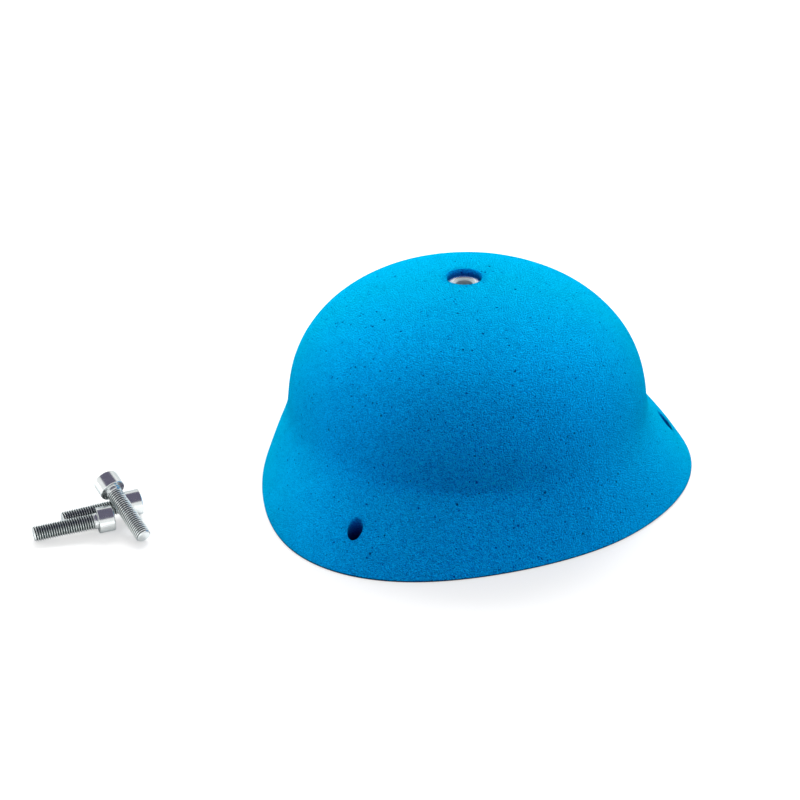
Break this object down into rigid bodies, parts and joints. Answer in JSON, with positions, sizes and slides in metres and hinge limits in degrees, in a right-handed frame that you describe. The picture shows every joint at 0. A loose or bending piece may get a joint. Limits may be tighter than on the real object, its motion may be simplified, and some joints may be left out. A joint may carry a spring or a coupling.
{
  "type": "bolt-on climbing volume",
  "caption": "Blue hollow-backed dome climbing volume on a flared skirt with lobes, a recessed bolt washer at its crown and loose socket head cap screws beside it.",
  "frame": {"origin": "where the bolt's axis meets the plane of the back rim, which lies on the wall", "axes": "+Z along the bolt's axis away from the wall, -Y towards the viewer of the picture, +X to the viewer's right"},
  "size_m": [0.41, 0.2843, 0.1348],
  "materials": {
    "moulding": "cast polyurethane with a fine sandy grain and small pinholes",
    "washer_steel": "zinc plated",
    "screw_steel": "bright zinc plated"
  },
  "bodies": {
    "hold": {"hold_shell": "moulding", "bolt_washer": "washer_steel"},
    "front_screw": {"cap_screw_1": "screw_steel"},
    "rear_screw": {"cap_screw_2": "screw_steel"},
    "leaning_screw": {"cap_screw_3": "screw_steel"}
  },
  "joints": [
    {"name": "front_screw_lift", "type": "slide", "parent": "hold", "child": "front_screw", "axis": [0, 0, 1], "range_m": [0, 0.16]},
    {"name": "rear_screw_lift", "type": "slide", "parent": "hold", "child": "rear_screw", "axis": [0, 0, 1], "range_m": [0, 0.16]},
    {"name": "leaning_screw_lift", "type": "slide", "parent": "rear_screw", "child": "leaning_screw", "axis": [0, 0, 1], "range_m": [0, 0.16]}
  ]
}
